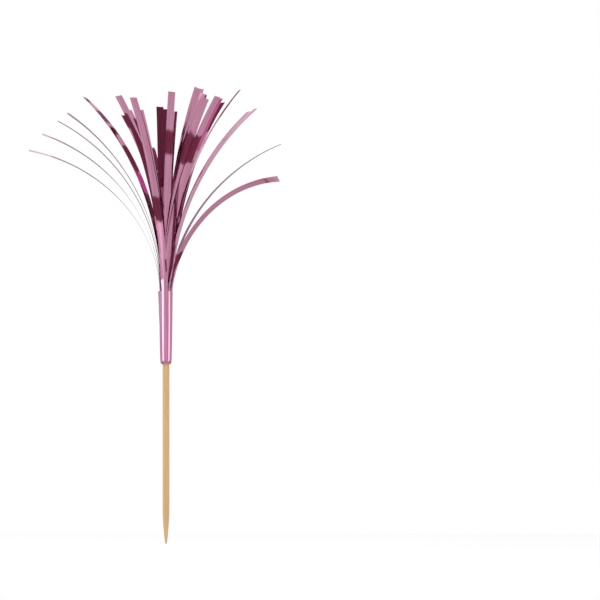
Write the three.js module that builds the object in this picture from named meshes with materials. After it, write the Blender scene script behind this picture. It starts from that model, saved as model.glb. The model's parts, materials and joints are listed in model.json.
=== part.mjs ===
// Foil fringe cupcake topper: a wooden pick, a rolled sleeve of metallised rose film on its upper end,
// and the film's fringe, cut into flat streamers that spray up and arch outward.
// Millimetres, +Z up. The origin is the point of the pick, and +Y looks away from the viewer.

import * as THREE from 'three';

// Driving dimensions

const PICK_LENGTH = 80;
const PICK_RADIUS = 1.2;
const PICK_POINT_LENGTH = 10.5;
const PICK_POINT_RADIUS = 0.15;
const PICK_POINT_FULLNESS = 0.6;
const PICK_TOP_CHAMFER = 0.2;

const TAPE_THICKNESS = 0.08;
const TAPE_END_MARGIN = 1.25;
const TAPE_SLIT_DEG = 14;
const TAPE_CLEARANCE = 0.05;

const SLEEVE_BOTTOM_HEIGHT = 63;
const SLEEVE_LENGTH = 25.5;
const SLEEVE_BOTTOM_RADIUS = 1.83;
const SLEEVE_FLARE = 0.5;
const SLEEVE_FLARE_POWER = 0.6;
const SLEEVE_EDGE_ROUND = 0.18;
const SLEEVE_CORE_RADIUS = 0.5;
const SLEEVE_CORE_TAPER_LENGTH = 3;
const SLEEVE_PICK_CLEARANCE = 0.6;
const SEAM_AZIMUTH_DEG = 196;
const SEAM_STEP = 0.09;
const SEAM_RAMP_DEG = 2;
const FLAP_LIFT = 0.36;
const FLAP_LENGTH = 11.5;
const FLAP_SPAN_DEG = 34;

const STREAMER_WIDTH = 2.5;
const STREAMER_LENGTH = 73;
const STREAMER_ROOT_CLEARANCE = 0.2;
const FILM_THICKNESS = 0.04;
const OUTER_TURN_RADIUS = 2.25;
const TURN_PITCH = 0.16;
const ROOT_LEAN_DEG = 0;
const BEND_POWER = 1;
const TWIST_POWER = 2;

// The fringe, turn by turn of the roll from the outside in. A turn's streamers leave the roll at even
// steps round it, from its first azimuth on. Azimuths turn anticlockwise seen from above, from +X.
// toward: the azimuth that the streamer arches to. tip: the lean of its end from upright.
// length: its share of the cut length. bend and twist: how the lean grows, and the turn of its face.

const TURNS = [
  {
    first: 180,
    streamers: [
      { toward: 179, tip: 79, length: 0.99, bend: 0.84, twist: 7 },
      { toward: 245, tip: 36, bend: 0.76 },
      { toward: 316, tip: 87, length: 0.965, bend: 0.64, twist: -50 },
      { toward: 16, tip: 68, length: 0.94, bend: 0.8 },
      { toward: 96, tip: 75.5, bend: 0.78 },
    ],
  },
  {
    first: 176,
    streamers: [
      { toward: 178, tip: 71, bend: 0.92, twist: 8 },
      { toward: 248, tip: 34, length: 0.925, bend: 0.78 },
      { toward: 336, tip: 51, length: 1.01, bend: 0.88 },
      { toward: 31, tip: 51, length: 0.995, bend: 0.9 },
      { toward: 112, tip: 53.5, length: 1.03, bend: 0.8 },
    ],
  },
  {
    first: 182,
    streamers: [
      { toward: 182, tip: 62.5, twist: -6 },
      { toward: 314, tip: 38.5, length: 1.01, bend: 0.86 },
      { toward: 54, tip: 47, length: 1.015, bend: 0.98 },
      { toward: 92, tip: 54 },
    ],
  },
  {
    first: 180,
    streamers: [
      { toward: 180, tip: 55.5, twist: 7 },
      { toward: 306, tip: 36, length: 0.99, bend: 0.86 },
      { toward: 48, tip: 40, length: 1.005, bend: 0.96 },
      { toward: 90, tip: 52, length: 1.005 },
    ],
  },
  {
    first: 181,
    streamers: [
      { toward: 205, tip: 50, length: 1.045, bend: 1.12 },
      { toward: 307, tip: 32, bend: 0.82 },
      { toward: 344, tip: 41.5, length: 1.045, bend: 1.1 },
      { toward: 117, tip: 49.5, length: 0.985 },
    ],
  },
  {
    first: 212,
    streamers: [
      { toward: 232, tip: 42, length: 1.015, bend: 1.1 },
      { toward: 311, tip: 25.5, bend: 0.96 },
      { toward: 65, tip: 49.5, length: 0.995, bend: 1.14 },
    ],
  },
  {
    first: 270,
    streamers: [
      { toward: 277, tip: 28, length: 0.99, bend: 1.02 },
      { toward: 44, tip: 29, length: 0.925, bend: 1.06 },
      { toward: 92, tip: 48.5, length: 0.985, bend: 1.18 },
    ],
  },
  {
    first: 310,
    streamers: [
      { toward: 313, tip: 25.5, bend: 1.08 },
      { toward: 133, tip: 42, length: 0.91, bend: 1.24 },
    ],
  },
  {
    first: 244,
    streamers: [
      { toward: 232, tip: 23, length: 0.72, bend: 1.24 },
      { toward: 43, tip: 24.5, length: 0.865, bend: 1.14 },
    ],
  },
  {
    first: 288,
    streamers: [{ toward: 287, tip: 17, length: 0.87, bend: 1.1 }],
  },
];

// How finely the curved faces are divided

const ROUND_SIDES = 36;
const SLEEVE_RINGS = 7;
const PICK_POINT_STEPS = 6;
const LENGTH_STEPS = 14;
const LENGTH_STEP_POWER = 1.25;
const WIDTH_STEP_DEG = 24;
const LEAST_WIDTH_STEPS = 3;
const PATH_STEPS_PER_STEP = 12;

const rad = THREE.MathUtils.degToRad;

const wood = new THREE.MeshStandardMaterial({ color: 0xe3bd80, roughness: 0.7, metalness: 0 });
const tape = new THREE.MeshStandardMaterial({ color: 0xf1ede2, roughness: 0.5, metalness: 0 });
const foil = new THREE.MeshStandardMaterial({ color: 0xc97aa6, roughness: 0.22, metalness: 0.9 });

function namedMesh(name, geometry, material) {
  const mesh = new THREE.Mesh(geometry, material);
  mesh.name = name;
  return mesh;
}

// A closed solid from a grid of points that wraps round in both directions.
function wrappedGrid(rows) {
  const columns = rows[0].length;
  const positions = rows.flat().flatMap((point) => point.toArray());
  const indices = [];
  for (let i = 0; i < rows.length; i += 1) {
    const nextRow = (i + 1) % rows.length;
    for (let j = 0; j < columns; j += 1) {
      const nextColumn = (j + 1) % columns;
      const a = i * columns + j;
      const b = i * columns + nextColumn;
      const c = nextRow * columns + nextColumn;
      const d = nextRow * columns + j;
      indices.push(a, b, c, a, c, d);
    }
  }
  const geometry = new THREE.BufferGeometry();
  geometry.setAttribute('position', new THREE.Float32BufferAttribute(positions, 3));
  geometry.setIndex(indices);
  return geometry;
}

// The pick: a round stick with a long point, turned about Z.
function pickGeometry() {
  const profile = [new THREE.Vector2(0, 0)];
  for (let k = 0; k <= PICK_POINT_STEPS; k += 1) {
    const share = k / PICK_POINT_STEPS;
    const fullness = (PICK_RADIUS - PICK_POINT_RADIUS) * share ** PICK_POINT_FULLNESS;
    profile.push(new THREE.Vector2(PICK_POINT_RADIUS + fullness, share * PICK_POINT_LENGTH));
  }
  profile.push(new THREE.Vector2(PICK_RADIUS, PICK_LENGTH - PICK_TOP_CHAMFER));
  profile.push(new THREE.Vector2(PICK_RADIUS - PICK_TOP_CHAMFER, PICK_LENGTH));
  profile.push(new THREE.Vector2(0, PICK_LENGTH));
  const geometry = new THREE.LatheGeometry(profile, ROUND_SIDES);
  geometry.rotateX(Math.PI / 2);
  return geometry;
}

// The sticky tape: one wrap round the pick, open by a narrow slit where its ends meet. It stops a
// margin short of the sleeve's lower end and of the pick's top.
const tapeInnerRadius = PICK_RADIUS + TAPE_CLEARANCE;
const tapeOuterRadius = tapeInnerRadius + TAPE_THICKNESS;
const tapeBottomHeight = SLEEVE_BOTTOM_HEIGHT + TAPE_END_MARGIN;
const tapeLength = PICK_LENGTH - TAPE_END_MARGIN - tapeBottomHeight;

function tapeGeometry() {
  const start = rad(TAPE_SLIT_DEG / 2);
  const end = 2 * Math.PI - start;
  const outline = new THREE.Shape();
  outline.absarc(0, 0, tapeOuterRadius, start, end, false);
  outline.absarc(0, 0, tapeInnerRadius, end, start, true);
  outline.closePath();
  return new THREE.ExtrudeGeometry(outline, {
    depth: tapeLength,
    bevelEnabled: false,
    curveSegments: ROUND_SIDES,
  });
}

// The sleeve: the uncut part of the film, wound tightly on itself. Its outside follows the spiral of the
// outer wrap and ends in a step at the seam, and the wrap's loose corner lifts off near the mouth.
const mouthHeight = SLEEVE_BOTTOM_HEIGHT + SLEEVE_LENGTH;
const sleeveBoreRadius = tapeOuterRadius + TAPE_CLEARANCE;
const coreBottomHeight = PICK_LENGTH + SLEEVE_PICK_CLEARANCE;

function sleeveRadius(height) {
  const share = (height - SLEEVE_BOTTOM_HEIGHT) / SLEEVE_LENGTH;
  return SLEEVE_BOTTOM_RADIUS + SLEEVE_FLARE * share ** SLEEVE_FLARE_POWER;
}

function flapLift(height, degreesFromSeam) {
  const up = Math.max(0, 1 - (mouthHeight - height) / FLAP_LENGTH);
  const along = Math.max(0, 1 - degreesFromSeam / FLAP_SPAN_DEG);
  return FLAP_LIFT * up * along ** 2;
}

function sleeveGeometry() {
  const profile = [];
  const inset = SLEEVE_EDGE_ROUND;
  profile.push({ height: SLEEVE_BOTTOM_HEIGHT, radius: SLEEVE_BOTTOM_RADIUS - inset, wrap: 1 });
  for (let k = 0; k <= SLEEVE_RINGS; k += 1) {
    const height = SLEEVE_BOTTOM_HEIGHT + inset + (SLEEVE_LENGTH - inset) * (k / SLEEVE_RINGS);
    profile.push({ height, radius: sleeveRadius(height), wrap: 1 });
  }
  profile.push({ height: mouthHeight, radius: SLEEVE_CORE_RADIUS, wrap: 0 });
  profile.push({ height: coreBottomHeight + SLEEVE_CORE_TAPER_LENGTH, radius: SLEEVE_CORE_RADIUS, wrap: 0 });
  profile.push({ height: coreBottomHeight, radius: sleeveBoreRadius, wrap: 0 });
  profile.push({ height: SLEEVE_BOTTOM_HEIGHT, radius: sleeveBoreRadius, wrap: 0 });

  const rows = profile.map(({ height, radius, wrap }) => {
    const ring = [];
    for (let k = 0; k < ROUND_SIDES; k += 1) {
      const turned = (k / (ROUND_SIDES - 1)) * (360 - SEAM_RAMP_DEG);
      const azimuth = rad(SEAM_AZIMUTH_DEG + turned);
      const spiral = SEAM_STEP * (turned / 360) + flapLift(height, 360 - SEAM_RAMP_DEG - turned);
      const reach = radius + wrap * spiral;
      ring.push(new THREE.Vector3(reach * Math.cos(azimuth), reach * Math.sin(azimuth), height));
    }
    return ring;
  });
  return wrappedGrid(rows);
}

// One streamer's midline, as distance from the axis, height, lean and azimuth at each step.
// The lean grows from the root by a power of the distance along the streamer.
function midline({ turnRadius, rootAzimuth, toward, tip, length, bend }) {
  const reach = length * STREAMER_LENGTH;
  const leanAt = (share) => rad(ROOT_LEAN_DEG + (tip - ROOT_LEAN_DEG) * share ** bend);
  const stations = [];
  let radius = turnRadius;
  let height = mouthHeight + STREAMER_ROOT_CLEARANCE;
  let from = 0;
  for (let k = 0; k <= LENGTH_STEPS; k += 1) {
    const to = (k / LENGTH_STEPS) ** LENGTH_STEP_POWER;
    const step = (to - from) / PATH_STEPS_PER_STEP;
    for (let i = 0; i < PATH_STEPS_PER_STEP && k > 0; i += 1) {
      const lean = leanAt(from + (i + 0.5) * step);
      radius += Math.sin(lean) * step * reach;
      height += Math.cos(lean) * step * reach;
    }
    from = to;
    const azimuth = toward + (rootAzimuth - toward) * (turnRadius / radius);
    stations.push({ share: to, radius, height, lean: leanAt(to), azimuth: rad(azimuth) });
  }
  return stations;
}

// One streamer: film of even thickness along the midline. Across, it keeps the curl of the roll,
// concentric with the axis, so turns and neighbours never cross and it flattens as it spreads.
function streamerGeometry(streamer) {
  const stations = midline(streamer);
  const rootAngle = THREE.MathUtils.radToDeg(STREAMER_WIDTH / streamer.turnRadius);
  const widthSteps = Math.max(LEAST_WIDTH_STEPS, Math.ceil(rootAngle / WIDTH_STEP_DEG));
  const centre = ({ radius, azimuth, height }) =>
    new THREE.Vector3(radius * Math.cos(azimuth), radius * Math.sin(azimuth), height);

  const rows = stations.map((station, k) => {
    const before = centre(stations[Math.max(0, k - 1)]);
    const after = centre(stations[Math.min(LENGTH_STEPS, k + 1)]);
    const along = after.sub(before).normalize();
    const around = new THREE.Vector3(-Math.sin(station.azimuth), Math.cos(station.azimuth), 0);
    const outward = around.clone().cross(along).normalize();
    const across = along.clone().cross(outward);
    const twist = rad(streamer.twist) * station.share ** TWIST_POWER;
    outward.applyAxisAngle(along, twist);
    across.applyAxisAngle(along, twist);

    const curlRadius = station.radius / Math.cos(station.lean);
    const middle = centre(station);
    const point = (side, surface) => {
      const angle = (side * STREAMER_WIDTH) / curlRadius;
      const level = curlRadius + surface * (FILM_THICKNESS / 2);
      return middle
        .clone()
        .addScaledVector(across, level * Math.sin(angle))
        .addScaledVector(outward, level * Math.cos(angle) - curlRadius);
    };
    const outer = [];
    const inner = [];
    for (let j = 0; j <= widthSteps; j += 1) {
      outer.push(point(j / widthSteps - 0.5, 1));
      inner.push(point(0.5 - j / widthSteps, -1));
    }
    return [...outer, ...inner];
  });
  return closedSweep(rows, widthSteps);
}

// Joins the cross-sections of a streamer into a closed solid: its sides, then a flat cap on each end.
// Both faces of the film are split along the same diagonals, so they stay parallel where it twists.
function closedSweep(rows, widthSteps) {
  const ring = rows[0].length;
  const last = (rows.length - 1) * ring;
  const positions = rows.flat().flatMap((point) => point.toArray());
  const indices = [];
  for (let i = 0; i < rows.length - 1; i += 1) {
    for (let j = 0; j < ring; j += 1) {
      const a = i * ring + j;
      const b = i * ring + ((j + 1) % ring);
      if (j <= widthSteps) {
        indices.push(a, b, b + ring, a, b + ring, a + ring);
      } else {
        indices.push(a, b, a + ring, b, b + ring, a + ring);
      }
    }
  }
  for (let j = 0; j < widthSteps; j += 1) {
    const outer = j;
    const inner = ring - 1 - j;
    indices.push(outer, inner, inner - 1, outer, inner - 1, outer + 1);
    const outerEnd = last + outer;
    const innerEnd = last + inner;
    indices.push(outerEnd, innerEnd - 1, innerEnd, outerEnd, outerEnd + 1, innerEnd - 1);
  }
  const geometry = new THREE.BufferGeometry();
  geometry.setAttribute('position', new THREE.Float32BufferAttribute(positions, 3));
  geometry.setIndex(indices);
  return geometry;
}

const topper = new THREE.Group();
topper.add(namedMesh('pick', pickGeometry(), wood));

const tapeWrap = namedMesh('adhesive_tape', tapeGeometry(), tape);
tapeWrap.position.z = tapeBottomHeight;
topper.add(tapeWrap);

topper.add(namedMesh('foil_sleeve', sleeveGeometry(), foil));

const fringe = new THREE.Group();
TURNS.forEach(({ first, streamers }, turn) => {
  streamers.forEach((chosen, place) => {
    const streamer = {
      length: 1,
      bend: BEND_POWER,
      twist: 0,
      ...chosen,
      turnRadius: OUTER_TURN_RADIUS - turn * TURN_PITCH,
      rootAzimuth: first + (place * 360) / streamers.length,
    };
    while (streamer.toward < streamer.rootAzimuth - 180) {
      streamer.toward += 360;
    }
    const number = String(fringe.children.length + 1).padStart(2, '0');
    fringe.add(namedMesh(`streamer_${number}`, streamerGeometry(streamer), foil));
  });
});
topper.add(fringe);

export default topper;
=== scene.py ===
# %% [markdown]
# # A foil fringe cupcake topper
# The topper is a wooden pick with a sheet of rose metallised film rolled onto its top. The lower edge
# of the film stays whole and makes the sleeve. The rest is cut into streamers that arch outward.
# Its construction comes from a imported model: every node is in metres, in one frame, with the point of
# the pick at the origin and +Z up. This script adds what a render needs: the finish of the wood, the
# smooth film with its streaks, the light and the camera.

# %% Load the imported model
import json
import math

import bmesh
import bpy
import numpy as np
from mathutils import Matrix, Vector

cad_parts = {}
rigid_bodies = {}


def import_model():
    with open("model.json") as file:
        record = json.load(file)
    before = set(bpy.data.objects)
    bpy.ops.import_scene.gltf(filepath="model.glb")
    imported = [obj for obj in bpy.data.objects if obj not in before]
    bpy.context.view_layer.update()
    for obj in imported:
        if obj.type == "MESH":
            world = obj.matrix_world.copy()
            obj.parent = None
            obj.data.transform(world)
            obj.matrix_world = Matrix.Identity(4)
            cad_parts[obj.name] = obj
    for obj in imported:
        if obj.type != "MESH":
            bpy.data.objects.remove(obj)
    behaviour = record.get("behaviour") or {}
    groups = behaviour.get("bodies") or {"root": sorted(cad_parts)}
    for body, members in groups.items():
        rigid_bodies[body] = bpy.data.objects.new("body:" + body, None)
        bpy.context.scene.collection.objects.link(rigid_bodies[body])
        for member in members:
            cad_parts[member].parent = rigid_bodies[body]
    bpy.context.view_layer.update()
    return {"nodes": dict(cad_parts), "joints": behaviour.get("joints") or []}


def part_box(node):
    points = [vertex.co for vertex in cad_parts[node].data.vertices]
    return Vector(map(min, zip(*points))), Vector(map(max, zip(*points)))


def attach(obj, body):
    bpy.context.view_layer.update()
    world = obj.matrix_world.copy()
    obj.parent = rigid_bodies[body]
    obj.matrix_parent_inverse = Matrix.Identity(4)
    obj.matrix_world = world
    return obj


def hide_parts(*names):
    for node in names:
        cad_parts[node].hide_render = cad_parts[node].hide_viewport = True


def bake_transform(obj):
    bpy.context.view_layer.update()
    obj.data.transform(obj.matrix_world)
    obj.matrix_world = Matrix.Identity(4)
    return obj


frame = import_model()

MM = 0.001

# %% [markdown]
# ## Camera
# The photograph looks at the topper level, from far away, so the pick shows no perspective. A long
# lens does the same. One pixel of the photograph is 0.35 mm, so 600 pixels are 210 mm at the pick.
# The camera stands square in front of the picture's middle and needs no shift or tilt.

# %% Place the camera
IMAGE_PIXELS = 600
PIXEL = 0.35 * MM
AXIS_PIXEL = 166.0
POINT_PIXEL = 544.0
CAMERA_DISTANCE = 10.0

picture_width = IMAGE_PIXELS * PIXEL
camera_data = bpy.data.cameras.new("camera")
camera_data.lens = camera_data.sensor_width * CAMERA_DISTANCE / picture_width
camera = bpy.data.objects.new("camera", camera_data)
bpy.context.scene.collection.objects.link(camera)
camera.location = (
    (IMAGE_PIXELS / 2 - AXIS_PIXEL) * PIXEL,
    -CAMERA_DISTANCE,
    (POINT_PIXEL - IMAGE_PIXELS / 2) * PIXEL,
)
camera.rotation_euler = (math.pi / 2, 0, 0)
bpy.context.scene.camera = camera
print("lens in mm", round(camera_data.lens), "camera at", [round(x, 4) for x in camera.location])

# %% [markdown]
# ## A mesh from a grid
# Every piece here is a surface worked out with numpy: a grid of points whose rows run along the piece
# and whose columns go round it. One helper turns points and faces into a mesh with a UV map. The map of
# the film is in millimetres, so that its streaks keep their real size on every piece.

# %% Helper: mesh from points and faces
def new_piece(name, points, faces, uv, sharp_degrees=40):
    """An object at the origin from points (N, 3), faces (rows of 3 or 4 indices) and uv (N, 2)."""
    mesh = bpy.data.meshes.new(name)
    mesh.from_pydata(points, [], faces)
    loops = np.empty(len(mesh.loops), np.int32)
    mesh.loops.foreach_get("vertex_index", loops)
    layer = mesh.uv_layers.new(name="film")
    layer.data.foreach_set("uv", np.asarray(uv, np.float32)[loops].ravel())
    mesh.polygons.foreach_set("use_smooth", np.ones(len(mesh.polygons), bool))
    mesh.set_sharp_from_angle(angle=math.radians(sharp_degrees))
    mesh.validate()
    piece = bpy.data.objects.new(name, mesh)
    bpy.context.scene.collection.objects.link(piece)
    return piece


# %% [markdown]
# ## Film from a grid
# A film is two faces back to back. Each row of its grid becomes a closed ring: the outer face across,
# then the inner face back. Quads join the rings, and a strip of quads closes each end.

# %% Helper: film of even thickness
def side_quads(rows, ring):
    """The quads between neighbouring rows of a grid whose columns close into a ring."""
    i, j = np.meshgrid(np.arange(rows - 1), np.arange(ring), indexing="ij")
    a = i * ring + j
    b = i * ring + (j + 1) % ring
    return np.stack([a, b, b + ring, a + ring], -1).reshape(-1, 4)


def film_caps(rows, ring):
    """The quads that close both ends of a film: its ring runs out on one face and back on the other."""
    j = np.arange(ring // 2 - 1)
    first = np.stack([j, ring - 1 - j, ring - 2 - j, j + 1], -1)
    last = first[:, ::-1] + (rows - 1) * ring
    return np.concatenate([first, last])


def film_mesh(name, middle, normal, thickness, uv, **options):
    """A film of even thickness about a middle surface (rows, columns, 3) with unit normals.

    Each row becomes a ring: the outer face across, then the inner face back.
    """
    rows, columns = middle.shape[:2]
    outer = middle + normal * thickness / 2
    inner = middle - normal * thickness / 2
    points = np.concatenate([outer, inner[:, ::-1]], axis=1)
    both = np.concatenate([uv, uv[:, ::-1]], axis=1)
    ring = 2 * columns
    faces = np.concatenate([side_quads(rows, ring), film_caps(rows, ring)])
    return new_piece(name, points.reshape(-1, 3), faces.tolist(), both.reshape(-1, 2), **options)


# %% [markdown]
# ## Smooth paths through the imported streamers
# Each packed streamer is a coarse solid: a stack of flat cross-sections along an arched line. The
# render needs the same line, but smooth, because a mirror shows every kink. The sections can be found
# again without any list: the corners of one section are all about equally far from the root, and the
# next section is clearly further. Sorted by that distance, the corners fall into sections, and a
# natural cubic spline through the sections gives the smooth line.

# %% Helper: sections of a packed streamer
MERGE_DISTANCE = 0.004 * MM
ROOT_BAND = 0.5 * MM


def merged_corners(node):
    """The distinct corners of a CAD node, from a merged copy of its loose triangles."""
    copy = bmesh.new()
    copy.from_mesh(frame["nodes"][node].data)
    bmesh.ops.remove_doubles(copy, verts=copy.verts, dist=MERGE_DISTANCE)
    corners = np.array([vertex.co for vertex in copy.verts])
    copy.free()
    return corners


def sections(node):
    """The corners of a streamer as (section, corner, xyz), in order from the root."""
    corners = merged_corners(node)
    lowest = corners[:, 2] < corners[:, 2].min() + ROOT_BAND
    distance = np.linalg.norm(corners - corners[lowest].mean(0), axis=1)
    return corners[np.argsort(distance)].reshape(-1, lowest.sum(), 3)


streamer_names = sorted(name for name in frame["nodes"] if name.startswith("streamer"))
stack = sections(streamer_names[0])
print(len(streamer_names), "streamers of", stack.shape[0], "sections with", stack.shape[1], "corners")

# %% [markdown]
# ## Directions of a section
# Every section has a middle and three directions: along the strip, across it and outward. They follow
# from how its corners spread, which a singular value decomposition tells. The signs are then set so
# that all sections of a streamer agree.

# %% Helper: frames of the sections
def unit(vectors):
    return vectors / np.linalg.norm(vectors, axis=-1, keepdims=True)


def section_frames(stack):
    """The middle of each section on the film, and its direction across, found with its directions along and
    outward.

    A section is flat and much wider than thick, so its widest spread is the way across and its
    narrowest the way along. The film bulges out of the middle of its own corners by the mean of
    R (1 - cos a), where R is the radius of its curl and a runs to half the width over R.
    """
    centre = stack.mean(1)
    spread = np.linalg.svd(stack - centre[:, None])[2]
    along = spread[:, 2]
    along *= np.sign((along * np.gradient(centre, axis=0)).sum(1))[:, None]
    around = unit(np.stack([-centre[:, 1], centre[:, 0], 0 * centre[:, 0]], -1))
    outward = unit(np.cross(around, along))
    across = spread[:, 0]
    across *= np.sign((across * np.cross(along, outward)).sum(1))[:, None]
    outward = np.cross(across, along)
    curl = np.hypot(centre[:, 0], centre[:, 1]) / along[:, 2]
    width = np.linalg.norm(stack[:, :, None] - stack[:, None], axis=-1).max((1, 2))
    share = np.linspace(-0.5, 0.5, stack.shape[1] // 2)
    bulge = (1 - np.cos(share * (width / curl)[:, None])).mean(1) * curl
    return centre + outward * bulge[:, None], across


# %% [markdown]
# ## Spline
# A natural cubic spline is the line that a thin strip of metal takes through fixed points. Its bends at
# the points solve one set of linear equations, and between two points it is a cubic.

# %% Helper: natural cubic spline
def natural_spline(stations, values, at):
    """A natural cubic spline through values at the stations, and its slope, both read elsewhere."""
    h = np.diff(stations)
    n = len(stations)
    matrix = np.eye(n)
    right = np.zeros((n, values.shape[1]))
    inner = np.arange(1, n - 1)
    matrix[inner, inner - 1] = h[:-1]
    matrix[inner, inner] = 2 * (h[:-1] + h[1:])
    matrix[inner, inner + 1] = h[1:]
    slope = np.diff(values, axis=0) / h[:, None]
    right[inner] = 6 * np.diff(slope, axis=0)
    bend = np.linalg.solve(matrix, right)
    k = np.clip(np.searchsorted(stations, at) - 1, 0, n - 2)
    a = ((stations[k + 1] - at) / h[k])[:, None]
    b = 1 - a
    square = (h[k] ** 2 / 6)[:, None]
    value = a * values[k] + b * values[k + 1]
    value += ((a**3 - a) * bend[k] + (b**3 - b) * bend[k + 1]) * square
    rate = slope[k] + ((3 * b**2 - 1) * bend[k + 1] - (3 * a**2 - 1) * bend[k]) * (h[k] / 6)[:, None]
    return value, rate


line, _ = natural_spline(np.array([0.0, 1.0, 2.0]), np.array([[0.0], [1.0], [0.0]]), np.array([0.5]))
print("a spline over 0, 1, 0 is", round(float(line[0, 0]), 4), "half-way up its first span")

# %% [markdown]
# ## Rose metallised film
# The film is clear plastic with a metal coat and a rose dye, so it is a mirror that tints what it
# shows. A metallic Principled shader gives that, with a thin clear coat for the plastic on top. Real
# film is never a perfect mirror: it was drawn and slit by machine, which leaves faint streaks along
# each strip. They are noise stretched along the film's own UV map, and change the colour a little.
# Broader noise changes the roughness, and both together make a very shallow bump.
#
# The nodes of a shader can be added by hand in the shader editor. Here a few small helpers add them, so
# that film, wood and tape are described in the same short way.

# %% Helper: shader nodes
NOISE_LOW, NOISE_HIGH = 0.3, 0.7


def node(tree, kind, links=(), **values):
    """A shader node, with inputs set by name and links given as (input, output socket)."""
    made = tree.nodes.new(kind)
    for key, value in values.items():
        if key in made.inputs:
            made.inputs[key].default_value = value
        else:
            setattr(made, key, value)
    for key, socket in links:
        tree.links.new(socket, made.inputs[key])
    return made


def new_material(name):
    material = bpy.data.materials.new(name)
    material.use_nodes = True
    tree = material.node_tree
    return material, tree, tree.nodes["Principled BSDF"]


def ramp(tree, factor, low, high, start=NOISE_LOW, end=NOISE_HIGH):
    """A colour ramp between two colours, read by a factor socket."""
    made = node(tree, "ShaderNodeValToRGB", [("Fac", factor)])
    made.color_ramp.elements[0].position = start
    made.color_ramp.elements[0].color = (*low, 1)
    made.color_ramp.elements[1].position = end
    made.color_ramp.elements[1].color = (*high, 1)
    return made.outputs["Color"]


def level(tree, factor, low, high):
    """A number that runs from low to high as the factor socket runs over the noise's usual range."""
    made = node(tree, "ShaderNodeMapRange", [("Value", factor)])
    made.inputs["From Min"].default_value = NOISE_LOW
    made.inputs["From Max"].default_value = NOISE_HIGH
    made.inputs["To Min"].default_value = low
    made.inputs["To Max"].default_value = high
    return made.outputs["Result"]


def mapped(tree, vector, scale):
    """A vector socket with its own scale on each axis, for a stretched noise."""
    return node(tree, "ShaderNodeMapping", [("Vector", vector)], Scale=scale).outputs["Vector"]


def noise(tree, vector, **values):
    return node(tree, "ShaderNodeTexNoise", [("Vector", vector)], **values).outputs["Fac"]


def combined(tree, operation, first, second):
    """One Math node: the first input is a socket, the second a socket or a number."""
    made = node(tree, "ShaderNodeMath", [(0, first)], operation=operation)
    if isinstance(second, float):
        made.inputs[1].default_value = second
    else:
        tree.links.new(second, made.inputs[1])
    return made.outputs["Value"]


def bump(tree, shader, height, strength, distance):
    made = node(tree, "ShaderNodeBump", [("Height", height)], Strength=strength, Distance=distance)
    tree.links.new(made.outputs["Normal"], shader.inputs["Normal"])


# %% [markdown]
# ## Two kinds of film
# In the photograph the streamers mirror crisply, and the rolled sleeve shows softer lines, so its film
# is made a little rougher. One function makes both, from the lowest and the highest roughness.

# %% Material: film
FOIL_DEEP = (0.35, 0.135, 0.22)
FOIL_PALE = (0.58, 0.255, 0.395)
FOIL_EDGE = (0.98, 0.86, 0.92)
STREAKS_PER_MM = (2.2, 0.03, 1.0)
CLOUDS_PER_MM = (0.35, 0.12, 1.0)
FILM_RELIEF = 0.01 * MM
BUMP_STRENGTH = 0.25
METAL_SHARE = 0.94
COAT_WEIGHT = 0.6
COAT_ROUGHNESS = 0.04
PLASTIC_IOR = 1.5


def film_material(name, smooth, rough):
    """Tinted mirror with streaks along the film: noise of about 0.5 mm across by 30 mm along."""
    material, tree, shader = new_material(name)
    place = node(tree, "ShaderNodeUVMap", uv_map="film").outputs["UV"]
    streaks = noise(tree, mapped(tree, place, STREAKS_PER_MM), Scale=1.0, Detail=3.0, Roughness=0.55)
    clouds = noise(tree, mapped(tree, place, CLOUDS_PER_MM), Scale=1.0, Detail=2.0)
    tree.links.new(ramp(tree, streaks, FOIL_DEEP, FOIL_PALE), shader.inputs["Base Color"])
    tree.links.new(level(tree, clouds, smooth, rough), shader.inputs["Roughness"])
    shader.inputs["Metallic"].default_value = METAL_SHARE
    shader.inputs["Specular Tint"].default_value = (*FOIL_EDGE, 1)
    shader.inputs["Coat Weight"].default_value = COAT_WEIGHT
    shader.inputs["Coat Roughness"].default_value = COAT_ROUGHNESS
    shader.inputs["Coat IOR"].default_value = PLASTIC_IOR
    bump(tree, shader, combined(tree, "ADD", streaks, clouds), BUMP_STRENGTH, FILM_RELIEF)
    return material


rose_film = film_material("rose_film", 0.03, 0.06)
rolled_rose_film = film_material("rolled_rose_film", 0.08, 0.13)
print("film material with", len(rose_film.node_tree.nodes), "nodes")

# %% [markdown]
# ## Streamers
# A streamer is a ribbon: a narrow arc of the roll's own curl, carried along the smooth line. The curl
# has the radius of the roll at the root and opens towards the free end, as a strip of paper does when
# it is pulled straight. Some ribbons also turn about their own line, evenly up to the tip or most of
# all in the middle: in the photograph each face mirrors something else, so each face lies differently.
# To that come two small things that real film has: shallow ripples along the free length, and a cut
# end that is never quite square.

# %% Build the streamers
FILM_THICKNESS = 0.03 * MM
ROOT_REACH = 0.25 * MM
LENGTH_ROWS = 120
WIDTH_COLUMNS = 11
RIPPLE = 0.03 * MM
LONG_RIPPLES = 1.7
SHORT_RIPPLES = 4.1
SHORT_SHARE = 0.5
TIP_CALM = 0.6
RIPPLE_SLANT = 0.6
PHASE_STEP = 2.4
SKEW = 0.45 * MM
SKEW_SHARE = 0.1
SKEW_STEP = 1.9
UV_STEP = 7.3
LEAST_RISE = 0.05
FLATTENING = 12
MIDDLE_TURN = {19: 24}
FACE_TURN = {16: -24, 20: -50, 24: -57, 29: -50, 12: -10, 23: 20, 2: 8, 7: 8, 1: 6, 6: 6, 11: 12, 15: 6}


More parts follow.
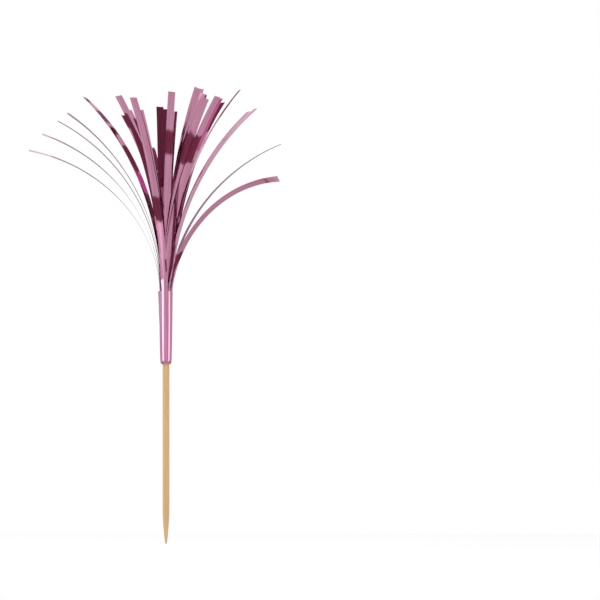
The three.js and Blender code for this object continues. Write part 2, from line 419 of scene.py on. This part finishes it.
def streamer_surface(number, node_name):
    """Middle surface, normals and UV of one streamer.

    With s the distance from the root and t from -1/2 to 1/2 across the width w, the point is
    C(s) + R sin(t w / R) side + (R cos(t w / R) - R + ripple) outward. R is the distance of C(s) from
    the axis over the cosine of the lean, times 1 + FLATTENING s / length. Side and outward are turned
    about the line by FACE_TURN times s / length and by MIDDLE_TURN times the sine of pi s / length.
    The ripple is two sine waves along s that grow from nothing at the root. Over the last SKEW_SHARE
    of the length the point also moves along the line by t times a skew, so the end isn't square.
    """
    stack = sections(node_name)
    centre, across = section_frames(stack)
    width = np.linalg.norm(stack[-1][:, None] - stack[-1][None], axis=-1).max()
    stations = np.concatenate([[0], np.cumsum(np.linalg.norm(np.diff(centre, axis=0), axis=1))])
    length = stations[-1]
    s = np.linspace(-ROOT_REACH, length, LENGTH_ROWS)
    line, rate = natural_spline(stations, centre, s)
    side = unit(natural_spline(stations, across, s)[0])
    along = unit(rate)
    outward = unit(np.cross(side, along))
    side = np.cross(along, outward)
    free = np.clip(s / length, 0, 1)[:, None]
    to_tip, in_middle = FACE_TURN.get(number, 0), MIDDLE_TURN.get(number, 0)
    turn = np.radians(to_tip * free + in_middle * np.sin(math.pi * free))
    cos, sin = np.cos(turn), np.sin(turn)
    outward, side = cos * outward + sin * side, cos * side - sin * outward

    t = np.linspace(-0.5, 0.5, WIDTH_COLUMNS)
    curl = np.hypot(line[:, 0], line[:, 1]) / np.maximum(along[:, 2], LEAST_RISE)
    curl = curl * (1 + FLATTENING * free[:, 0])
    phase = PHASE_STEP * number
    wave = np.sin(2 * math.pi * (LONG_RIPPLES * free + t * RIPPLE_SLANT) + phase)
    wave = wave + SHORT_SHARE * np.sin(2 * math.pi * SHORT_RIPPLES * free - phase)
    ripple = RIPPLE * free * (1 - TIP_CALM * free) * wave
    angle = t * width / curl[:, None]
    middle = (
        line[:, None]
        + (curl[:, None] * np.sin(angle))[..., None] * side[:, None]
        + (curl[:, None] * (np.cos(angle) - 1) + ripple)[..., None] * outward[:, None]
    )
    end = np.clip((free - (1 - SKEW_SHARE)) / SKEW_SHARE, 0, 1)
    skew = SKEW * math.sin(SKEW_STEP * number) * t * end**2
    middle += skew[..., None] * along[:, None]
    du = np.gradient(middle, axis=1)
    dv = np.gradient(middle, axis=0)
    uv = np.stack(np.broadcast_arrays(t * width / MM + UV_STEP * number, s[:, None] / MM), -1)
    return middle, unit(np.cross(du, dv)), uv


root_body = frame["joints"][0]["parent"]
streamers = []
for number, name in enumerate(streamer_names, 1):
    middle, normal, uv = streamer_surface(number, name)
    ribbon = film_mesh(f"ribbon_{number:02d}", middle, normal, FILM_THICKNESS, uv)
    ribbon.data.materials.append(rose_film)
    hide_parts(name)
    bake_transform(ribbon)
    streamers.append(ribbon)
print(len(streamers), "ribbons,", sum(len(r.data.polygons) for r in streamers), "faces")

# %% [markdown]
# ## Sleeve
# The sleeve is the same film, rolled ten times round the pick. It is built as what it is: one long
# spiral sheet. Its radius grows evenly with every turn, from the tape outwards, and the roll opens
# towards the mouth, where the streamers leave it. The last turn ends at the seam, and its corner
# there has sprung off the roll.

# %% Build the sleeve
TURNS = 10
COLUMNS_PER_TURN = 48
SLEEVE_ROWS = 44
SEAM_AZIMUTH = math.radians(187)
FLAP_SPAN = math.radians(34)
FLAP_LENGTH = 11.5 * MM
FLAP_LIFT = 0.36 * MM
SEAM_STEP = 0.09 * MM
OUTER_RADIUS = 1.83 * MM
FLARE = 0.5 * MM
FLARE_POWER = 0.6
EDGE_ROUND = 0.12 * MM
EDGE_LENGTH = 0.5 * MM
BORE_RADIUS = 1.38 * MM
MOUTH_BORE_RADIUS = 0.78 * MM
CLOSING_LENGTH = 5 * MM
UV_RADIUS = 2.0

sleeve_low, sleeve_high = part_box("foil_sleeve")
pick_low, pick_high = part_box("pick")


def smooth_step(x):
    x = np.clip(x, 0, 1)
    return x * x * (3 - 2 * x)


def sleeve_surface():
    """Middle surface, normals and UV of the rolled film.

    At each height the radius is core + (outer - core) turn / TURNS. Outer grows towards the mouth by
    a power of the height, and core closes above the top of the pick. The bottom edge is drawn in a
    little, the last turn is stepped out by SEAM_STEP, and its upper corner is lifted by FLAP_LIFT.
    """
    z = sleeve_low.z + (sleeve_high.z - sleeve_low.z) * np.linspace(0, 1, SLEEVE_ROWS)[:, None]
    turn = np.linspace(0, TURNS, TURNS * COLUMNS_PER_TURN + 1)[None]
    azimuth = SEAM_AZIMUTH - 2 * math.pi * turn
    share = (z - sleeve_low.z) / (sleeve_high.z - sleeve_low.z)
    outer = OUTER_RADIUS + FLARE * share**FLARE_POWER
    rounded = EDGE_ROUND * (1 - smooth_step((z - sleeve_low.z) / EDGE_LENGTH))
    closing = smooth_step((z - pick_high.z) / CLOSING_LENGTH)
    core = BORE_RADIUS + (MOUTH_BORE_RADIUS - BORE_RADIUS) * closing
    radius = core + (outer - core) * turn / TURNS - rounded
    up = np.clip(1 - (sleeve_high.z - z) / FLAP_LENGTH, 0, 1)
    left = (TURNS - turn) * 2 * math.pi
    lift = FLAP_LIFT * up * np.clip(1 - left / FLAP_SPAN, 0, 1) ** 2
    radius = radius + lift + SEAM_STEP * np.clip(turn - TURNS + 1, 0, 1)
    z = np.broadcast_to(z, radius.shape)
    middle = np.stack([radius * np.cos(azimuth), radius * np.sin(azimuth), z], -1)
    normal = unit(np.cross(np.gradient(middle, axis=1), np.gradient(middle, axis=0)))
    along = np.broadcast_to(turn * 2 * math.pi * UV_RADIUS, radius.shape)
    uv = np.stack([along, (z - sleeve_low.z) / MM], -1)
    return middle, normal, uv


middle, normal, uv = sleeve_surface()
sleeve = film_mesh("rolled_film", middle, normal, FILM_THICKNESS, uv)
sleeve.data.materials.append(rolled_rose_film)
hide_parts("foil_sleeve")
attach(sleeve, root_body)
print("sleeve faces", len(sleeve.data.polygons))

# %% [markdown]
# ## Pick
# The pick is a thin stick of pale wood, turned round and ground to a long point. Its fibres run along
# it, so the grain is noise stretched many times along Z. It is read from the object's own coordinates,
# so it runs through the wood and needs no map.

# %% Material: wood
WOOD_LIGHT = (0.82, 0.525, 0.245)
WOOD_DARK = (0.60, 0.335, 0.13)
FIBRES_PER_M = (4200.0, 4200.0, 90.0)
BANDS_PER_M = (900.0, 900.0, 14.0)
WOOD_RELIEF = 0.00004


def wood_material():
    """Pale wood: fine fibres over broad bands, both stretched along the pick."""
    material, tree, shader = new_material("pale_wood")
    place = node(tree, "ShaderNodeTexCoord").outputs["Object"]
    fibres = noise(tree, mapped(tree, place, FIBRES_PER_M), Scale=1.0, Detail=5.0, Roughness=0.6)
    bands = noise(tree, mapped(tree, place, BANDS_PER_M), Scale=1.0, Detail=2.0)
    grain = combined(tree, "MULTIPLY", combined(tree, "ADD", fibres, bands), 0.5)
    tree.links.new(ramp(tree, grain, WOOD_DARK, WOOD_LIGHT, 0.25, 0.6), shader.inputs["Base Color"])
    tree.links.new(level(tree, fibres, 0.62, 0.45), shader.inputs["Roughness"])
    bump(tree, shader, fibres, 0.5, WOOD_RELIEF)
    return material


pale_wood = wood_material()
print("wood material with", len(pale_wood.node_tree.nodes), "nodes")

# %% [markdown]
# ## Turned stick
# The stick is a profile turned about Z. Its rows crowd towards the point, where the radius changes most.
# A real stick isn't perfectly round, so the radius wavers round it in three shallow lobes that slowly
# turn along it and fade at the point. Both ends close on a middle vertex, so the mesh has no hole.

# %% Build the pick
PICK_COLUMNS = 64
PICK_ROWS = 110
POINT_LENGTH = 10.5 * MM
POINT_RADIUS = 0.15 * MM
POINT_POWER = 0.6
ROW_POWER = 1.4
WAVER = 0.006 * MM
LOBES = 3
WAVER_PER_M = 40


def pick_surface():
    """Points (row, column, xyz) of the turned profile, its heights and its azimuths.

    The radius is full above the point and falls to the tip by the power POINT_POWER. To it comes
    WAVER times the sine of LOBES times the azimuth plus WAVER_PER_M times the height.
    """
    radius_full = (pick_high.x - pick_low.x) / 2
    share = np.linspace(0, 1, PICK_ROWS)
    z = pick_high.z * share**ROW_POWER
    point = np.clip(z / POINT_LENGTH, 0, 1) ** POINT_POWER
    radius = POINT_RADIUS + (radius_full - POINT_RADIUS) * point
    azimuth = np.linspace(0, 2 * math.pi, PICK_COLUMNS, endpoint=False)
    waver = WAVER * np.sin(LOBES * azimuth + WAVER_PER_M * z[:, None]) * point[:, None]
    reach = radius[:, None] + waver
    height = np.broadcast_to(z[:, None], reach.shape)
    points = np.stack([reach * np.cos(azimuth), reach * np.sin(azimuth), height], -1)
    return points, z, azimuth


points, z, azimuth = pick_surface()
side_count = PICK_ROWS * PICK_COLUMNS
tip = np.array([[0, 0, 0]])
top = np.array([[0, 0, z[-1]]])
corners = np.concatenate([points.reshape(-1, 3), tip, top])
j = np.arange(PICK_COLUMNS)
after = (j + 1) % PICK_COLUMNS
last = side_count - PICK_COLUMNS
tip_fan = np.stack([0 * j + side_count, after, j], -1)
top_fan = np.stack([0 * j + side_count + 1, last + j, last + after], -1)
faces = [*side_quads(PICK_ROWS, PICK_COLUMNS).tolist(), *tip_fan.tolist(), *top_fan.tolist()]
uv = np.stack(np.broadcast_arrays(azimuth[None], z[:, None]), -1).reshape(-1, 2)
uv = np.concatenate([uv, [[0, 0], [0, 1]]])
pick = new_piece("wooden_pick", corners, faces, uv)
pick.data.materials.append(pale_wood)
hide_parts("pick")
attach(pick, root_body)
print("pick faces", len(pick.data.polygons))

# %% [markdown]
# ## Tape
# The wrap of double-sided tape sits inside the sleeve and never shows, but it belongs to the topper.
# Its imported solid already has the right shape, so it only gets a finish: milky, slightly mottled film.

# %% Material: tape
TAPE_DULL = (0.80, 0.77, 0.68)
TAPE_PALE = (0.90, 0.88, 0.82)
MOTTLE_PER_M = 900.0


def tape_material():
    material, tree, shader = new_material("clear_tape")
    place = node(tree, "ShaderNodeTexCoord").outputs["Object"]
    mottle = noise(tree, place, Scale=MOTTLE_PER_M, Detail=3.0)
    tree.links.new(ramp(tree, mottle, TAPE_DULL, TAPE_PALE), shader.inputs["Base Color"])
    tree.links.new(level(tree, mottle, 0.35, 0.55), shader.inputs["Roughness"])
    return material


tape = frame["nodes"]["adhesive_tape"]
tape.data.materials.clear()
tape.data.materials.append(tape_material())
print("tape faces", len(tape.data.polygons))

# %% [markdown]
# ## Floor
# The photograph has a white ground all round. The floor is a pale disc under the point of the pick. Its
# paint is a little short of white, so where the camera or a mirror looks straight at it, a small
# emission lifts it. The Light Path node tells such rays from those that gather light.

# %% Floor
FLOOR_RADIUS = 0.6
FLOOR_DROP = 1.0 * MM
FLOOR_COLOUR = 0.86
FLOOR_ROUGHNESS = 0.9
FLOOR_LIFT = 0.295


def seen_directly(tree):
    """1 for rays from the camera, a mirror or clear film, and 0 for rays that gather light."""
    ray = node(tree, "ShaderNodeLightPath").outputs
    seen = combined(tree, "MAXIMUM", ray["Is Camera Ray"], ray["Is Glossy Ray"])
    return combined(tree, "MAXIMUM", seen, ray["Is Transmission Ray"])


def floor_material():
    """Pale matt paint, lifted to white where it is seen directly, and not as light."""
    material, tree, shader = new_material("pale_floor")
    shader.inputs["Base Color"].default_value = (FLOOR_COLOUR, FLOOR_COLOUR, FLOOR_COLOUR, 1)
    shader.inputs["Roughness"].default_value = FLOOR_ROUGHNESS
    shader.inputs["Specular IOR Level"].default_value = 0.0
    shader.inputs["Emission Color"].default_value = (1, 1, 1, 1)
    lift = combined(tree, "MULTIPLY", seen_directly(tree), FLOOR_LIFT)
    tree.links.new(lift, shader.inputs["Emission Strength"])
    return material


def disc_mesh(name, radius, height, columns=96):
    angle = np.linspace(0, 2 * math.pi, columns, endpoint=False)
    rim = np.stack([radius * np.cos(angle), radius * np.sin(angle), 0 * angle + height], -1)
    mesh = bpy.data.meshes.new(name)
    mesh.from_pydata(rim, [], [list(range(columns))])
    made = bpy.data.objects.new(name, mesh)
    bpy.context.scene.collection.objects.link(made)
    return made


floor = disc_mesh("floor", FLOOR_RADIUS, -FLOOR_DROP)
floor.data.materials.append(floor_material())
print("floor radius in mm", round(FLOOR_RADIUS / MM))

# %% [markdown]
# ## Cards that paint reflections
# A mirror shows what surrounds it. Here flat sheets that glow with a fixed colour lie on the floor, hang
# overhead and stand behind, each where the mirror rays of certain streamers land, so they paint chosen
# reflections onto those streamers. Plum sheets paint the dark patches as painted dark reflections, pink
# ones paint the deeper pink, and grey ones paint the thin strands that are seen on edge. Two sheets that
# glow brighter than white paint the highlight on the light root of the streamer in front. Only glossy
# rays see the cards, so they light nothing and cast no shadow.

# %% Colours of the painted reflections
# Each colour is the glow of a card that only mirrors see: plum for painted dark patches, pink for painted
# deeper pink, grey for the strands seen on edge, and a glow above white for painted highlights.
PLUM = (0.25, 0.06, 0.105)
DEEP_PLUM = (0.17, 0.04, 0.07)
DARK_GREY = (0.30, 0.28, 0.29)
MIDDLE_GREY = (0.46, 0.45, 0.455)
MAUVE = (0.84, 0.76, 0.77)
PAINTED_HIGHLIGHT_GLOW = (1.6, 1.6, 1.6)
MAGENTA = (0.86, 0.42, 0.67)
HOT_PINK = (0.90, 0.22, 0.62)


def painted_reflection_material(name, colour):
    """A card that glows with its own colour, whatever the lamps do: a painted reflection in the mirrors."""
    material, tree, shader = new_material(name)
    shader.inputs["Base Color"].default_value = (0, 0, 0, 1)
    shader.inputs["Specular IOR Level"].default_value = 0.0
    shader.inputs["Emission Color"].default_value = (*colour, 1)
    shader.inputs["Emission Strength"].default_value = 1.0
    return material


plum_painted_reflection = painted_reflection_material("plum_painted_reflection", PLUM)
magenta_painted_reflection = painted_reflection_material("magenta_painted_reflection", MAGENTA)
deep_plum_painted_reflection = painted_reflection_material("deep_plum_painted_reflection", DEEP_PLUM)
hot_pink_painted_reflection = painted_reflection_material("hot_pink_painted_reflection", HOT_PINK)
dark_grey_painted_reflection = painted_reflection_material("dark_grey_painted_reflection", DARK_GREY)
middle_grey_painted_reflection = painted_reflection_material("middle_grey_painted_reflection", MIDDLE_GREY)
mauve_painted_reflection = painted_reflection_material("mauve_painted_reflection", MAUVE)
painted_highlight_card = painted_reflection_material("painted_highlight_card", PAINTED_HIGHLIGHT_GLOW)
print("a bright card shows", PAINTED_HIGHLIGHT_GLOW[0], "times white")

# %% [markdown]
# ## Flat cards
# A card is one flat quad. Blender can hide an object from some kinds of rays: these are hidden from the
# camera, from diffuse light, from shadows and from clear film, which leaves only the mirrors.

# %% Helper: cards
GROUND = 0.2 * MM
CEILING = 600 * MM
BACK = 550 * MM


def card_object(name, material, corners):
    """A flat card between four corners that glossy rays alone can see."""
    mesh = bpy.data.meshes.new(name)
    mesh.from_pydata(corners, [], [(0, 1, 2, 3)])
    made = bpy.data.objects.new(name, mesh)
    bpy.context.scene.collection.objects.link(made)
    made.data.materials.append(material)
    made.visible_camera = False
    made.visible_diffuse = False
    made.visible_shadow = False
    made.visible_transmission = False
    return made


def card(name, material, start, end, width, height):
    """A level strip of card between two points (x, y) in millimetres."""
    start, end = np.array(start) * MM, np.array(end) * MM
    way = (end - start) / np.linalg.norm(end - start)
    aside = np.array([-way[1], way[0]]) * width * MM / 2
    corners = (start - aside, end - aside, end + aside, start + aside)
    return card_object(name, material, [(*corner, height) for corner in corners])


def back_card(name, material, left, right, low, high):
    """An upright card behind the topper, between two x and two z in millimetres."""
    left, right, low, high = (value * MM for value in (left, right, low, high))
    corners = ((left, BACK, low), (right, BACK, low), (right, BACK, high), (left, BACK, high))
    return card_object(name, material, corners)


# %% [markdown]
# ## Where the cards go
# A mirror ray leaves the film at the angle it came in. The rays of one streamer were followed to the
# floor, or to a level plane overhead or an upright one behind, and a card was laid where they land, so
# that its glow is painted on that streamer as a reflection. A level card is given by the two ends of its
# middle line and its width, and an upright one by its sides and its heights, all in millimetres.

# %% Place the cards
FLOOR_CARDS = (
    ("card_middle", plum_painted_reflection, (37, -159), (37, -186), 34),
    ("card_middle_left", plum_painted_reflection, (-60, -221), (18, -221), 48),
    ("card_middle_back", plum_painted_reflection, (8, -280), (31, -280), 24),
    ("card_middle_far", plum_painted_reflection, (-165, -352), (20, -352), 120),
    ("card_right_near", plum_painted_reflection, (64, -108), (78, -131), 24),
    ("card_right", plum_painted_reflection, (134, -38.5), (153, -50), 22),
    ("card_left_near", plum_painted_reflection, (-112.5, -126), (-139, -154.6), 40),
    # These two glow at 1.6 times white and only mirrors see them: a painted highlight on the light root of
    # the streamer in front.
    ("card_window_near", painted_highlight_card, (-145, -155), (-204, -237), 50),
    ("card_window_far", painted_highlight_card, (-214, -226), (-430, -560), 64),
    ("card_left", plum_painted_reflection, (-85.4, -33.3), (-222, -95.5), 44),
    ("card_left_far", plum_painted_reflection, (-160, -50), (-300, -50), 64),
    ("card_strip_middle", plum_painted_reflection, (-171, 44), (-206, 17), 30),
    ("card_strip_pink", hot_pink_painted_reflection, (-206, 18), (-258, 27), 40),
    ("card_strip_low", plum_painted_reflection, (-258, 27), (-350, 45), 60),
    ("card_root_near", plum_painted_reflection, (125, 45), (240, 50), 60),
    ("card_root_middle", plum_painted_reflection, (240, 55), (400, 90), 150),
    ("card_root_far", plum_painted_reflection, (400, 60), (800, 160), 300),
    ("card_arch", mauve_painted_reflection, (-60, 38), (124, 41), 30),
    ("card_strands", middle_grey_painted_reflection, (-135, 365), (-135, 560), 90),
    ("card_behind", plum_painted_reflection, (200, 588), (250, 610), 130),
)
OVERHEAD_CARDS = (
    ("card_overhead", deep_plum_painted_reflection, (100, 140), (100, -520), 400),
    ("card_overhead_behind", plum_painted_reflection, (15, 270), (15, 800), 90),
    ("card_overhead_right", plum_painted_reflection, (345, 205), (345, 265), 60),
    ("card_overhead_left", magenta_painted_reflection, (-620, 270), (-360, 270), 100),
    ("card_overhead_rear", plum_painted_reflection, (-366, 235), (-180, 235), 100),
)
BACK_CARDS = (
    ("card_back_low", dark_grey_painted_reflection, -270, 0, 0, 200),
    ("card_back_right", dark_grey_painted_reflection, 0, 620, 30, 200),
    ("card_back_left", middle_grey_painted_reflection, -620, -270, 20, 200),
    ("card_back_high", middle_grey_painted_reflection, -620, 0, 200, 400),
)

for entry in FLOOR_CARDS:
    card(*entry, GROUND)
for entry in OVERHEAD_CARDS:
    card(*entry, CEILING)
for entry in BACK_CARDS:
    back_card(*entry)
print(len(FLOOR_CARDS), "cards on the floor,", len(OVERHEAD_CARDS), "overhead and", len(BACK_CARDS), "behind")

# %% [markdown]
# ## Light
# Two wide softboxes in front, left and right, light the topper and give the bright lines on the sleeve.
# A third, high on the left, lights the wood and stays out of the mirrors. The world is even white,
# at full strength where it is seen directly and at three quarters as light.

# %% Light
SOFTBOX_DISTANCE = 0.9
SOFTBOX_HEIGHT = 75 * MM
SOFTBOX_RADIANCE = 2.2
LEFT_SHARE = 1.35
RIGHT_SHARE = 1.15
KEY_RADIANCE = 2.4
KEY_CLIMB = 0.7
WORLD_DIFFUSE = 0.74
WORLD_SEEN = 1.0


def softbox(name, degrees, radiance, size, climb=0.0):
    """A soft rectangle of light at an azimuth from the camera's side, aimed at the sleeve.

    It stands level with the sleeve, or higher by its distance times climb.
    """
    data = bpy.data.lights.new(name, "AREA")
    data.shape = "RECTANGLE"
    data.size, data.size_y = size
    data.energy = radiance * math.pi * size[0] * size[1]
    made = bpy.data.objects.new(name, data)
    bpy.context.scene.collection.objects.link(made)
    angle = math.radians(degrees)
    way = Vector((math.sin(angle), -math.cos(angle), climb))
    made.location = Vector((0, 0, SOFTBOX_HEIGHT)) + way * SOFTBOX_DISTANCE
    made.rotation_euler = way.to_track_quat("Z", "Y").to_euler()
    made.visible_camera = False
    return made


key = softbox("softbox_key", -75, KEY_RADIANCE, (0.50, 0.50), climb=KEY_CLIMB)
key.visible_glossy = False
softbox("softbox_left", -55, SOFTBOX_RADIANCE * LEFT_SHARE, (0.50, 0.20))
softbox("softbox_right", 63, SOFTBOX_RADIANCE * RIGHT_SHARE, (0.34, 0.20))

world = bpy.data.worlds.new("studio")
bpy.context.scene.world = world
world.use_nodes = True
sky = world.node_tree
strength = node(sky, "ShaderNodeMapRange", [("Value", seen_directly(sky))])
strength.inputs["To Min"].default_value = WORLD_DIFFUSE
strength.inputs["To Max"].default_value = WORLD_SEEN
sky.nodes["Background"].inputs["Color"].default_value = (1, 1, 1, 1)
sky.links.new(strength.outputs["Result"], sky.nodes["Background"].inputs["Strength"])
bpy.context.scene.view_settings.view_transform = "Standard"
